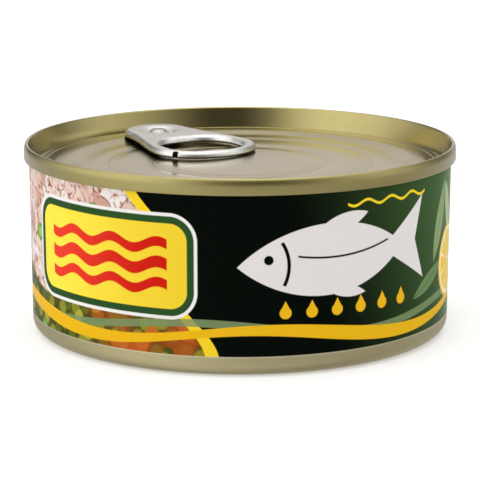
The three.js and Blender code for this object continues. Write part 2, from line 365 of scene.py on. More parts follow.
def bump(tree, strength, distance, relief):
    """Fine relief for a shader's Normal, with its depth in metres."""
    made = node(tree, "ShaderNodeBump", {}, Strength=strength, Distance=distance, Height=relief)
    return Val(made.outputs[0])


def new_finish(name):
    """A material, its node tree, and the place on the object in millimetres."""
    material = bpy.data.materials.new(name)
    material.use_nodes = True
    tree = material.node_tree
    metres = node(tree, "ShaderNodeTexCoord", {}).outputs["Object"]
    return material, tree, scaled(tree, metres, 1 / MM)


def clamped(value):
    return maths("ADD", value, 0.0, clamp=True)


def cover(distance, soft=0.16):
    """1 inside a shape and 0 outside it, from the distance to its edge, with a soft printed edge."""
    return clamped(0.5 - distance / soft)


def least(a, b):
    return maths("MINIMUM", a, b)


def most(a, b):
    return maths("MAXIMUM", a, b)


def reach(x, y):
    return maths("SQRT", x * x + y * y)


def sine(value):
    return maths("SINE", value)


def part_of_step(value):
    """How far a value is past the middle of the whole step that it lies in."""
    return value - maths("FLOOR", value) - 0.5


def stepped(u, v, middle, degrees=0.0):
    """The same place measured from a motif's middle, along and across the motif."""
    c, s = math.cos(math.radians(degrees)), math.sin(math.radians(degrees))
    du, dv = u - middle[0], v - middle[1]
    return du * c + dv * s, dv * c - du * s


def rounded_box(u, v, half_u, half_v, corner):
    """Distance to a box with round corners, which is never less than -corner inside it."""
    x = most(abs(u) - (half_u - corner), 0.0)
    y = most(abs(v) - (half_v - corner), 0.0)
    return reach(x, y) - corner


def lens(x, y, half_long, half_wide):
    """Distance to a pointed leaf shape between two arcs."""
    radius = (half_long ** 2 + half_wide ** 2) / (2 * half_wide)
    return reach(x, abs(y) + (radius - half_wide)) - radius


# The print is drawn in millimetres round the wall from the middle of the front, and above the floor
WALL_RADIUS = 42.54
print_skin, print_tree, skin_mm = new_finish("printed_metal")
skin_x, skin_y, height = axes(print_tree, skin_mm)
around = maths("ARCTAN2", skin_x, -skin_y) * WALL_RADIUS
wrap = Val(node(print_tree, "ShaderNodeCombineXYZ", {}, around, height, 0.0).outputs[0])

# Ground of the print: near black at the front, lighter green to the right, deep green at the back
DARK_GREEN, DEEP_GREEN = srgb(3, 8, 3), srgb(17, 36, 15)
LEAF_GREEN, FRESH_GREEN = srgb(72, 104, 56), srgb(112, 150, 84)
PRINT_MIDDLE = 20.0
LEAF_FADE, FADE_LEAN = (12.0, 66.0), 0.35
FRESH_FADE, FRESH_SHARE = (48.0, 68.0), 0.7
BACK_FADE = (84.0, 112.0)
colour = blend(rising(around + (height - PRINT_MIDDLE) * FADE_LEAN, *LEAF_FADE), DARK_GREEN, LEAF_GREEN)
colour = blend(rising(around, *FRESH_FADE) * FRESH_SHARE, colour, FRESH_GREEN)
colour = blend(rising(abs(around), *BACK_FADE), colour, DEEP_GREEN)


def cells(vector, channel, randomness=1.0):
    """Plain cells: each cell's own random number, and the distance to the cell's middle."""
    made = node(
        print_tree, "ShaderNodeTexVoronoi", {"voronoi_dimensions": "2D"},
        Vector=vector, Scale=1.0, Randomness=randomness,
    )
    picked = node(print_tree, "ShaderNodeSeparateColor", {}, made.outputs["Color"]).outputs[channel]
    return Val(picked), Val(made.outputs["Distance"])


# Left field: long rounded flakes of pink and cream, in plain cells that a slow noise bends
BEND_SCALE, BEND_REACH = 0.22, 5.0
FLAKE_NARROW, FLAKE_SHEAR, FLAKE_LONG, FLAKE_LEAN = 0.42, 0.16, 0.20, 0.06
FLAKE_GAP, GAP_FADE, GAP_SHARE = (0.01, 0.07), (0.40, 0.56), 0.9
bend = node(print_tree, "ShaderNodeTexNoise", {}, wrap, Scale=BEND_SCALE, Detail=1.0).outputs["Color"]
bent = node(
    print_tree, "ShaderNodeVectorMath", {"operation": "MULTIPLY_ADD"},
    bend, (BEND_REACH, BEND_REACH, 0.0), wrap,
).outputs[0]
bent_around, bent_height, _ = axes(print_tree, bent)
flake_way = node(
    print_tree, "ShaderNodeCombineXYZ", {},
    bent_around * FLAKE_NARROW + bent_height * FLAKE_SHEAR,
    bent_height * FLAKE_LONG - bent_around * FLAKE_LEAN,
).outputs[0]
flake_pick, _ = cells(flake_way, "Red")
flake_edge = node(
    print_tree, "ShaderNodeTexVoronoi", {"voronoi_dimensions": "2D", "feature": "DISTANCE_TO_EDGE"},
    Vector=flake_way, Scale=1.0,
).outputs["Distance"]
flake_colour = srgb(236, 210, 198)
for pick_low, pick_high, flake_tone in (
    (0.25, 0.35, srgb(226, 194, 180)),
    (0.55, 0.62, srgb(240, 232, 226)),
    (0.84, 0.88, srgb(206, 160, 142)),
):
    flake_colour = blend(rising(flake_pick, pick_low, pick_high), flake_colour, flake_tone)
flake_shade = noise(print_tree, flake_way, scale=2.6, detail=3.0)
for shade_low, shade_high, shade_share, shade_tone in (
    (0.50, 0.56, 0.55, srgb(204, 158, 142)),
    (0.60, 0.64, 0.85, srgb(150, 84, 56)),
):
    flake_colour = blend(rising(flake_shade, shade_low, shade_high) * shade_share, flake_colour, shade_tone)
flake_gap = 1 - rising(Val(flake_edge), *FLAKE_GAP)
flake_gap = flake_gap * rising(flake_shade, *GAP_FADE) * GAP_SHARE
flake_colour = blend(flake_gap, flake_colour, srgb(128, 82, 62))

# Herbs along the field's foot, in small round cells that turn toasted to the right
HERB_SCALE, HERB_ROUND, HERB_SHADE = 0.33, (0.32, 0.52), 0.8
TOAST_FADE, TOAST_LEAN, TOAST_SHARE = (-30.0, -22.0), 0.5, 0.9
HERB_LEVEL, HERB_SWING, HERB_TURN, HERB_SOFT = 13.5, 2.2, 0.17, 0.6
herb_pick, herb_distance = cells(scaled(print_tree, wrap, HERB_SCALE), "Green")
herb_colour = blend(rising(herb_pick, 0.3, 0.4), srgb(142, 140, 44), srgb(92, 104, 32))
herb_colour = blend(rising(herb_pick, 0.62, 0.7), herb_colour, srgb(172, 164, 62))
herb_colour = blend(rising(herb_distance, *HERB_ROUND) * HERB_SHADE, herb_colour, srgb(47, 50, 16))
toast = rising(around + height * TOAST_LEAN, *TOAST_FADE)
herb_colour = blend(toast * rising(herb_pick, 0.1, 0.9) * TOAST_SHARE, herb_colour, srgb(196, 88, 30))
herb_level = HERB_LEVEL + HERB_SWING * sine(around * HERB_TURN)
field_colour = blend(cover(height - herb_level, HERB_SOFT), flake_colour, herb_colour)

# Round peas scattered over the field, with sizes in shares of a cell
PEA_SCALE, PEA_SCATTER, PEA_CHANCE = 0.115, 0.8, (0.5, 0.55)
PEA_RADIUS, PEA_SOFT, PEA_LIT = 0.20, 0.03, 0.05
pea_pick, pea_distance = cells(scaled(print_tree, wrap, PEA_SCALE), "Blue", PEA_SCATTER)
pea_colour = blend(rising(pea_distance, PEA_LIT, PEA_RADIUS), srgb(150, 205, 96), srgb(84, 140, 52))
pea_mask = cover(pea_distance - PEA_RADIUS, PEA_SOFT) * rising(pea_pick, *PEA_CHANCE)
field_colour = blend(pea_mask, field_colour, pea_colour)

# The field ends in a wavy slanting edge with a yellow border
FIELD_LEFT, FIELD_RIGHT, FIELD_LEAN, FIELD_SWING, FIELD_TURN = -96.0, -15.0, 0.42, 1.8, 0.3
BORDER_HALF = 1.3
field_right = FIELD_RIGHT - FIELD_LEAN * (height - PRINT_MIDDLE) + FIELD_SWING * sine(height * FIELD_TURN)
field_edge = most(around - field_right, FIELD_LEFT - around)
colour = blend(cover(field_edge), colour, field_colour)
colour = blend(cover(abs(field_edge - BORDER_HALF) - BORDER_HALF), colour, srgb(250, 214, 42))

# Leaves of a lighter green, on the right and at the back: middle, turn, half length, half width and tone
RIB_HALF, RIB_SHARE = 0.16, 0.45
for leaf_middle, leaf_turn, leaf_long, leaf_wide, leaf_tone in (
    ((50.0, 25.0), 68, 8.6, 2.0, srgb(140, 164, 112)),
    ((56.5, 25.5), 112, 7.4, 1.9, srgb(176, 198, 150)),
    ((45.0, 14.0), 24, 7.0, 1.5, srgb(112, 138, 90)),
    ((84.0, 23.0), 62, 8.5, 2.2, srgb(120, 148, 94)),
    ((92.0, 20.0), 118, 8.0, 2.0, srgb(96, 124, 74)),
    ((-106.0, 23.0), 60, 8.5, 2.2, srgb(64, 92, 50)),
    ((-113.0, 19.0), 122, 7.5, 2.0, srgb(84, 112, 64)),
):
    leaf_x, leaf_y = stepped(around, height, leaf_middle, leaf_turn)
    leaf = lens(leaf_x, leaf_y, leaf_long, leaf_wide)
    rib = abs(leaf_y) - RIB_HALF
    colour = blend(cover(leaf) * (1 - RIB_SHARE * cover(rib)), colour, leaf_tone)

# Two ribbons that wave all round the foot of the print
WAVES_ROUND = 4
PALE_LEVEL, PALE_SWING, PALE_SHIFT, PALE_HALF, PALE_SHARE = 9.0, 1.4, 2.3, 0.75, 0.85
YELLOW_LEVEL, YELLOW_SWING, YELLOW_SHIFT = 7.6, 1.5, 1.2
YELLOW_HALF, YELLOW_SWELL, SWELL_SHIFT = 1.10, 0.30, 0.6
wave_turn = around * (WAVES_ROUND / WALL_RADIUS)
pale_ribbon = abs(height - PALE_LEVEL - PALE_SWING * sine(wave_turn + PALE_SHIFT)) - PALE_HALF
colour = blend(cover(pale_ribbon) * PALE_SHARE, colour, srgb(124, 146, 98))
yellow_half = YELLOW_HALF + YELLOW_SWELL * sine(wave_turn - SWELL_SHIFT)
yellow_ribbon = abs(height - YELLOW_LEVEL - YELLOW_SWING * sine(wave_turn + YELLOW_SHIFT)) - yellow_half
colour = blend(cover(yellow_ribbon), colour, srgb(238, 186, 26))

# Cut fruit, as plain wheels of segments
FRUIT_RADIUS, PEEL, FLESH_RADIUS, CORE = 7.6, 0.6, 6.1, (0.7, 1.3)
SEGMENTS, SEGMENT_HALF, SPOKE_WIDTH, SPOKE_SOFT = 9, 0.42, 0.7, 0.3
for fruit_middle in ((57.5, 15.5), (-104.0, 26.5)):
    fruit_x, fruit_y = stepped(around, height, fruit_middle)
    fruit_reach = reach(fruit_x, fruit_y)
    fruit_turn = maths("ARCTAN2", fruit_y, fruit_x) * (SEGMENTS / (2 * math.pi))
    spoke = abs(part_of_step(fruit_turn)) - SEGMENT_HALF
    segment = cover(spoke * fruit_reach * SPOKE_WIDTH, SPOKE_SOFT)
    flesh = cover(fruit_reach - FLESH_RADIUS) * segment * rising(fruit_reach, *CORE)
    colour = blend(cover(fruit_reach - FRUIT_RADIUS), colour, srgb(244, 190, 32))
    colour = blend(cover(fruit_reach - (FRUIT_RADIUS - PEEL)), colour, srgb(250, 238, 190))
    colour = blend(flesh, colour, srgb(246, 204, 58))

# Plain yellow panel with three red waves, edged in green and white
PANEL_MIDDLE, PANEL_LONG, PANEL_HIGH, PANEL_CORNER = (-28.5, 21.0), 18.5, 8.2, 3.4
WHITE_EDGE, GREEN_EDGE, YELLOW_FADE = 2.0, 1.35, 18.0
RED_TURN, RED_SWING, RED_REACH, RED_FADE = 0.62, 0.8, 14.6, 14.0
panel_x, panel_y = stepped(around, height, PANEL_MIDDLE)
panel = rounded_box(panel_x, panel_y, PANEL_LONG, PANEL_HIGH, PANEL_CORNER)
panel_yellow = blend(rising(panel_x, -YELLOW_FADE, YELLOW_FADE), srgb(252, 232, 74), srgb(244, 210, 52))
panel_red = blend(rising(panel_x, -RED_FADE, RED_FADE), srgb(236, 62, 44), srgb(206, 28, 14))
colour = blend(cover(panel - WHITE_EDGE), colour, srgb(240, 238, 234))
colour = blend(cover(panel - GREEN_EDGE), colour, srgb(44, 80, 40))
colour = blend(cover(panel), colour, panel_yellow)
for red_level, red_half in ((3.9, 0.95), (0.0, 1.15), (-3.9, 0.95)):
    red_wave = abs(panel_y - red_level - RED_SWING * sine(panel_x * RED_TURN)) - red_half
    colour = blend(cover(red_wave) * cover(abs(panel_x) - RED_REACH), colour, panel_red)

# White fish in plain outline, swimming to the left, measured from its own middle
FISH_MIDDLE, FISH_TILT = (20.0, 22.3), 3
BODY_SHIFT, BODY_LONG, BODY_DEEP = 3.0, 17.6, 6.9
TAIL_ROOT, TAIL_FROM, TAIL_END, TAIL_FLARE, TAIL_FORK = 9.0, 10.0, 18.8, 0.66, 0.34
BACK_FIN, BACK_FIN_LONG, BACK_FIN_DEEP = (0.5, 6.7), 5.6, 1.6
LOW_FIN, LOW_FIN_LONG, LOW_FIN_DEEP = (0.5, -6.6), 4.4, 1.2
FIN_TILT = 12
GILL_MIDDLE, GILL_RADIUS, GILL_HALF = 19.0, 8.2, 0.34
EYE_X, EYE_Y, EYE_RADIUS = -14.6, 1.0, 0.9
FLANK_LEVEL, FLANK_CURVE, FLANK_HALF_LINE, FLANK_START, CUT_MARGIN = 0.25, 0.012, 0.2, (-9.2, -8.8), 1.1
fish_x, fish_y = stepped(around, height, FISH_MIDDLE, FISH_TILT)
fish_body = lens(fish_x + BODY_SHIFT, fish_y, BODY_LONG, BODY_DEEP)
tail_flare = abs(fish_y) - (fish_x - TAIL_ROOT) * TAIL_FLARE
tail_end = fish_x - TAIL_END - abs(fish_y) * TAIL_FORK
fish_tail = most(most(tail_flare, tail_end), TAIL_FROM - fish_x)
fin_x, fin_y = stepped(fish_x, fish_y, BACK_FIN, FIN_TILT)
back_fin = lens(fin_x, fin_y, BACK_FIN_LONG, BACK_FIN_DEEP)
low_x, low_y = stepped(fish_x, fish_y, LOW_FIN, -FIN_TILT)
low_fin = lens(low_x, low_y, LOW_FIN_LONG, LOW_FIN_DEEP)
fish = least(least(fish_body, fish_tail), least(back_fin, low_fin))
inside = cover(fish_body + CUT_MARGIN)
gill = cover(abs(reach(fish_x + GILL_MIDDLE, fish_y) - GILL_RADIUS) - GILL_HALF) * inside
eye = cover(reach(fish_x - EYE_X, fish_y - EYE_Y) - EYE_RADIUS)
flank_line = cover(abs(fish_y - FLANK_LEVEL - FLANK_CURVE * fish_x * fish_x) - FLANK_HALF_LINE)
cuts = clamped(gill + eye + flank_line * inside * rising(fish_x, *FLANK_START))
colour = blend(cover(fish) * (1 - cuts), colour, srgb(230, 225, 223))

# A thin yellow line of small waves over the fish, and a row of oil drops under it
LINE_LEVEL, LINE_TURN, LINE_SWING, LINE_HALF = 32.3, 1.05, 0.5, 0.26
LINE_MIDDLE, LINE_REACH = 31.5, 10.5
DROP_PITCH, DROPS_START, DROP_LEVEL, DROP_RADIUS = 5.2, 6.0, 12.3, 1.15
DROP_SLOPE, DROP_TIP, DROP_SHOULDER = 1.9, 2.3, 0.35
DROPS_MIDDLE, DROPS_REACH = 21.6, 15.5
line = abs(height - LINE_LEVEL - LINE_SWING * sine(around * LINE_TURN)) - LINE_HALF
colour = blend(cover(line) * cover(abs(around - LINE_MIDDLE) - LINE_REACH), colour, srgb(250, 218, 44))
drop_x = part_of_step((around - DROPS_START) / DROP_PITCH) * DROP_PITCH
drop_y = height - DROP_LEVEL
drop_tip = most(abs(drop_x) * DROP_SLOPE + drop_y - DROP_TIP, DROP_SHOULDER - drop_y)
drop = least(reach(drop_x, drop_y) - DROP_RADIUS, drop_tip)
colour = blend(cover(drop) * cover(abs(around - DROPS_MIDDLE) - DROPS_REACH), colour, srgb(240, 186, 30))

# A plain cream panel at the back, ruled with thin green lines
REAR_LEVEL, REAR_LONG, REAR_HIGH, REAR_CORNER, REAR_EDGE = 20.5, 19.0, 8.6, 2.0, 0.8
RULE_PITCH, RULE_HALF, RULE_MARGIN = 2.4, 0.16, 1.85
rear = WALL_RADIUS * math.pi - abs(around)
rear_panel = rounded_box(rear, height - REAR_LEVEL, REAR_LONG, REAR_HIGH, REAR_CORNER)
rule = abs(part_of_step(height / RULE_PITCH)) * RULE_PITCH - RULE_HALF
colour = blend(cover(rear_panel - REAR_EDGE), colour, srgb(238, 190, 30))
colour = blend(cover(rear_panel), colour, srgb(236, 230, 208))
colour = blend(cover(rule) * cover(rear_panel + RULE_MARGIN), colour, srgb(70, 98, 56))

# The print ends over the foot in a thin pale line, and the lacquered metal is bare below it and on the base
PRINT_FOOT, PRINT_SOFT = 4.0, 0.14
EDGE_DROP, EDGE_HALF, EDGE_SOFT, EDGE_SHARE = 0.12, 0.13, 0.1, 0.6
GOLD, GOLD_SHADE = (0.58, 0.51, 0.285, 1.0), 0.94
gold_shaded = tuple(c * GOLD_SHADE for c in GOLD[:3]) + (1.0,)
INK_SPECKS = 0.02
BARE_ROUGH, ROLLED_ROUGH, INK_GLOSS = 0.34, 0.08, 0.12
NOISE_SPREAD = (0.3, 0.7)
grain = noise(print_tree, skin_mm, scale=6.0, detail=2.0)
printed = cover(PRINT_FOOT - height, PRINT_SOFT)
edge_line = cover(abs(height - PRINT_FOOT + EDGE_DROP) - EDGE_HALF, EDGE_SOFT)
ink = blend(clamped(grain - 0.5) * INK_SPECKS, colour, srgb(255, 255, 255))
bare_gold = blend(rising(grain, *NOISE_SPREAD), GOLD, gold_shaded)
skin_colour = blend(printed, bare_gold, ink)
skin_colour = blend(edge_line * EDGE_SHARE, skin_colour, srgb(226, 218, 190))
long_grain = node(print_tree, "ShaderNodeMapping", {}, skin_mm, Scale=(1.0, 1.0, 0.12)).outputs[0]
rolled = noise(print_tree, long_grain, scale=1.4, detail=3.0)
set_shader(print_tree, {
    "Base Color": skin_colour,
    "Roughness": BARE_ROUGH + ROLLED_ROUGH * (rolled - 0.5) - printed * INK_GLOSS,
    "Metallic": 1 - printed,
    "Normal": bump(print_tree, strength=0.25, distance=0.00002, relief=rolled + grain * 0.3),
    "Specular IOR Level": 0.025,
})

# Profile of the body in millimetres: the recessed base, the foot, the wall and the rim inside the seam
FOOT_ROUND = 2.6
WALL_LOW, WALL_TOP, WALL_STEPS = 42.4, 42.68, 8
RIM_TOP, RIM_IN = 34.92, 42.32
BODY_TOP, BODY_TOP_RADIUS = 32.8, 42.07
BASE_MIDDLE, BASE_RING = 1.45, 1.0
MIDDLE_EDGE, MIDDLE_FOOT, RING_EDGE, STAND_EDGE = 24.0, 25.6, 35.6, 37.0
body_profile = (
    [(0, BASE_MIDDLE)]
    + ease(MIDDLE_EDGE, BASE_MIDDLE, MIDDLE_FOOT, BASE_RING)
    + ease(RING_EDGE, BASE_RING, STAND_EDGE, 0.0)
    + arc(WALL_LOW - FOOT_ROUND, FOOT_ROUND, FOOT_ROUND, -QUARTER, 0, 16)
)
for wall_step in range(1, WALL_STEPS + 1):
    body_profile.append((
        WALL_LOW + (WALL_TOP - WALL_LOW) * wall_step / WALL_STEPS,
        FOOT_ROUND + (RIM_TOP - FOOT_ROUND) * wall_step / WALL_STEPS,
    ))
body_profile += [(RIM_IN, RIM_TOP), (BODY_TOP_RADIUS, BODY_TOP), (0, BODY_TOP)]
CAN_SEGMENTS = 240
body = turned("printed_body", body_profile, CAN_SEGMENTS, print_skin)
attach(body, "root")
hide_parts("can_body")


# The end: one pressed sheet of gold-lacquered tinplate, rolled over the body's rim into a double seam.
# Inside the seam lie the chuck wall, a flat ring with the score line, a bead, and a panel with two rings.
SEAM_RADIUS, CAN_TOP = round(cad_box[1][0] / MM, 2), round(cad_box[1][2] / MM, 2)
SEAM_LOW, SEAM_IN, RIM_ROUND = 34.9, 42.7, 0.36
SEAM_ROUND, SEAM_FALL, SEAM_UNDER, SEAM_STEPS = 0.52, 1.5, 0.3, 16
SHEET_LEVEL, SHEET_RADIUS, SEAM_BACK = 33.1, 41.77, 42.02
RING_LEVEL, PANEL_LEVEL = 34.1, 33.65
WALL_FOOT, FOOT_GROOVE, GROOVE_LEVEL, GROOVE_FLAT, GROOVE_RISE = 41.62, 0.45, 33.5, 0.6, 1.5
SCORE, SCORE_HALF, SCORE_DEPTH = 39.3, 0.2, 0.12
BEAD, BEAD_LEVEL, BEAD_OUT, BEAD_IN = 36.9, 34.3, 1.9, 6.6
PANEL_RINGS, RING_DIP, RING_OUT, RING_IN = (26.8, 17.6), 0.12, 2.8, 3.4
CREASE, CREASE_HALF = 0.06, 0.3
PANEL_FLAT = 8.0
seam_turns = [QUARTER * i / SEAM_STEPS for i in range(SEAM_STEPS + 1)]
end_profile = (
    [(0, SHEET_LEVEL), (SHEET_RADIUS, SHEET_LEVEL), (SEAM_BACK, SEAM_LOW)]
    + arc(SEAM_RADIUS - SEAM_UNDER, SEAM_LOW + SEAM_UNDER, SEAM_UNDER, -QUARTER, 0, 8)
    + [
        (SEAM_RADIUS - SEAM_ROUND * (1 - math.cos(t)), CAN_TOP - SEAM_FALL * (1 - math.sin(t)))
        for t in seam_turns
    ]
    + arc(SEAM_IN + RIM_ROUND, CAN_TOP - RIM_ROUND, RIM_ROUND, QUARTER, 2 * QUARTER, 10)
    + arc(WALL_FOOT - FOOT_GROOVE, GROOVE_LEVEL + FOOT_GROOVE, FOOT_GROOVE, 0, -QUARTER, 8)
    + ease(WALL_FOOT - GROOVE_FLAT, GROOVE_LEVEL, WALL_FOOT - GROOVE_RISE, RING_LEVEL, 10)
    + ease(SCORE + SCORE_HALF, RING_LEVEL, SCORE, RING_LEVEL - SCORE_DEPTH, 3)
    + ease(SCORE, RING_LEVEL - SCORE_DEPTH, SCORE - SCORE_HALF, RING_LEVEL, 3)
    + ease(BEAD + BEAD_OUT, RING_LEVEL, BEAD, BEAD_LEVEL, 12)
    + ease(BEAD, BEAD_LEVEL, BEAD - BEAD_IN, PANEL_LEVEL, 20)
)
for ring in PANEL_RINGS:
    dip = PANEL_LEVEL - RING_DIP
    end_profile += ease(ring + RING_OUT, PANEL_LEVEL, ring + CREASE_HALF, dip, 8)
    end_profile += ease(ring + CREASE_HALF, dip, ring, dip - CREASE, 4)
    end_profile += ease(ring, dip - CREASE, ring - CREASE_HALF, dip, 4)
    end_profile += ease(ring - CREASE_HALF, dip, ring - RING_IN, PANEL_LEVEL, 8)
end_profile += [(PANEL_FLAT, PANEL_LEVEL), (0, PANEL_LEVEL)]

# Gold lacquer: clouded a little, and duller and wrinkled where the seaming rolls pressed the outside
LACQUER_GOLD = (0.475, 0.398, 0.145, 1.0)
LACQUER_DEEP = (0.42, 0.350, 0.110, 1.0)
OUTSIDE = (42.9, 43.3)
CLOUD_SHARE, OUTSIDE_SHARE = 0.35, 0.5
CLOUD_RELIEF, WRINKLE_RELIEF, SPECK_RELIEF = 0.2, 1.2, 0.02
END_ROUGH, OUTSIDE_ROUGH, SPECK_ROUGH = 0.20, 0.14, 0.03
lacquer, lacquer_tree, end_mm = new_finish("gold_lacquer")
end_x, end_y, _ = axes(lacquer_tree, end_mm)
outside = rising(reach(end_x, end_y), *OUTSIDE)
cloud = noise(lacquer_tree, end_mm, scale=0.35, detail=3.0)
speck = noise(lacquer_tree, end_mm, scale=7.0, detail=1.0)
wrinkle_place = node(lacquer_tree, "ShaderNodeMapping", {}, end_mm, Scale=(1.0, 1.0, 0.25)).outputs[0]
wrinkle = noise(lacquer_tree, wrinkle_place, scale=0.9, detail=2.0)
end_relief = cloud * CLOUD_RELIEF + wrinkle * outside * WRINKLE_RELIEF + speck * SPECK_RELIEF
end_colour = blend(rising(cloud, *NOISE_SPREAD) * CLOUD_SHARE, LACQUER_GOLD, LACQUER_DEEP)
end_colour = blend(outside * OUTSIDE_SHARE, end_colour, LACQUER_DEEP)
set_shader(lacquer_tree, {
    "Base Color": end_colour,
    "Roughness": END_ROUGH + outside * OUTSIDE_ROUGH + SPECK_ROUGH * rising(speck, 0.62, 0.75),
    "Normal": bump(lacquer_tree, strength=0.22, distance=0.00003, relief=end_relief),
    "Metallic": 1.0,
    "Coat Weight": 1.0,
    "Coat Roughness": 0.16,
    "Coat IOR": 1.5,
})
end = turned("seamed_end", end_profile, CAN_SEGMENTS, lacquer)
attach(end, "root")
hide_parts("can_end")


# The rivet: drawn up out of the end's own sheet as a low boss and a stem, then flattened over the ring pull.
# The lacquer is stretched thin and pale there, and the head keeps a shallow dimple from the punch.
NOSE_AZIMUTH = math.radians(123.3)
TAB_SKEW = math.radians(0.8)
TAB_AZIMUTH = NOSE_AZIMUTH + math.pi - TAB_SKEW
NOSE_RADIUS, NOSE_DEPTH = 38.5, 2.7
NOSE_LEVEL = CAN_TOP - NOSE_DEPTH
TAB_LONG, TAB_THICK, TAB_FALL = 34.2, 1.3, 0.8
TAB_TILT = math.atan(TAB_FALL / TAB_LONG)
RIVET_ALONG = 6.9
nose = Vector((NOSE_RADIUS * math.cos(NOSE_AZIMUTH), NOSE_RADIUS * math.sin(NOSE_AZIMUTH), NOSE_LEVEL))
tab_way = Vector((math.cos(TAB_AZIMUTH), math.sin(TAB_AZIMUTH), -math.tan(TAB_TILT)))
rivet_middle = nose + tab_way * RIVET_ALONG
DISH_DEPTH = 0.6
HEAD_LOW = rivet_middle.z + TAB_THICK / 2 - DISH_DEPTH
HEAD_RADIUS, HEAD_RISE, HEAD_FLAT, HEAD_EDGE, HEAD_DIMPLE = 2.1, 0.62, 1.25, 0.06, 0.07
HEAD_TOP = HEAD_LOW + HEAD_RISE
HEAD_LIFT, HEAD_GAP = 0.02, 0.04
STEM_RADIUS, STEM_FLARE, FLARE_RISE = 1.65, 0.2, 0.1
BOSS_RADIUS, BOSS_TOP_RADIUS = 4.8, 3.7
BOSS_FOOT, BOSS_EDGE, BOSS_TOP = PANEL_LEVEL - 0.2, PANEL_LEVEL - 0.02, PANEL_LEVEL + 0.5
RIVET_SEGMENTS = 96
rivet_profile = (
    [(0, BOSS_FOOT), (BOSS_RADIUS, BOSS_FOOT)]
    + ease(BOSS_RADIUS, BOSS_EDGE, BOSS_TOP_RADIUS, BOSS_TOP, 10)
    + [
        (STEM_RADIUS + STEM_FLARE, BOSS_TOP),
        (STEM_RADIUS, BOSS_TOP + FLARE_RISE),
        (STEM_RADIUS, HEAD_LOW - HEAD_GAP),
    ]
    + arc(HEAD_RADIUS - HEAD_EDGE, HEAD_LOW + HEAD_LIFT, HEAD_EDGE, -QUARTER, 0, 5)
    + ease(HEAD_RADIUS, HEAD_LOW + HEAD_GAP, HEAD_FLAT, HEAD_TOP, 16)
    + ease(HEAD_FLAT, HEAD_TOP, 0.0, HEAD_TOP - HEAD_DIMPLE, 6)
)
BARE_TIN, BARE_TIN_SHADE = (0.60, 0.58, 0.54, 1.0), (0.52, 0.50, 0.46, 1.0)
DRAWN_ROUGH, THINNED_ROUGH = 0.30, 0.08
drawn, drawn_tree, drawn_mm = new_finish("drawn_rivet")
_, _, drawn_level = axes(drawn_tree, drawn_mm)
thinned = noise(drawn_tree, drawn_mm, scale=1.6, detail=2.0)
stretch = rising(drawn_level, PANEL_LEVEL + 0.2, HEAD_LOW)
bare_tin = blend(rising(thinned, *NOISE_SPREAD), BARE_TIN, BARE_TIN_SHADE)
drawn_colour = blend(stretch, LACQUER_GOLD, bare_tin)
set_shader(drawn_tree, {
    "Base Color": drawn_colour,
    "Roughness": DRAWN_ROUGH + THINNED_ROUGH * thinned,
    "Metallic": 1.0,
})
rivet = turned("rivet", rivet_profile, RIVET_SEGMENTS, drawn, (rivet_middle.x, rivet_middle.y, 0.0))
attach(rivet, "root")
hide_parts("can_end")


# The ring pull: bright sheet with its edges curled under into a round hem, dished round the rivet.
# A curved slot lets the dished floor hinge, and a notch shows where the hem's two ends meet.
# Its plan is drawn flat in millimetres from the nose, filled with triangles, raised and set over the rivet.
NOSE_LONG, NOSE_HALF = 6.3, 7.2
RING_LONG, RING_HALF = 8.6, 11.4
FLANK_HALF = NOSE_HALF + 0.5
HOLE_START, HOLE_HALF, HOLE_CORNER = 17.0, 8.4, 6.4
HOLE_ROUND, HOLE_END, HOLE_EASE = 25.8, TAB_LONG - 1.8, 1.2
ROUND_PULL = 0.5523
STEP = 0.34
TINY = 1e-12


def bezier(a, b, c, d):
    """Places along a curve with two handles, without its last."""
    a, b, c, d = (np.array(p, float) for p in (a, b, c, d))
    length = np.linalg.norm(b - a) + np.linalg.norm(c - b) + np.linalg.norm(d - c)
    t = np.linspace(0, 1, max(6, int(length / STEP)) + 1)[:-1, None]
    return (1 - t) ** 3 * a + 3 * (1 - t) ** 2 * t * b + 3 * (1 - t) * t * t * c + t ** 3 * d


def mirrored(half):
    """Closes a half outline, drawn on the near side from one end to the other, with its mirror image."""
    return np.vstack([half, half[1:][::-1] * (1, -1)])


def rivet_arc(radius, turns):
    """Places round the rivet's middle."""
    return np.stack([RIVET_ALONG + radius * np.cos(turns), radius * np.sin(turns)], axis=1)


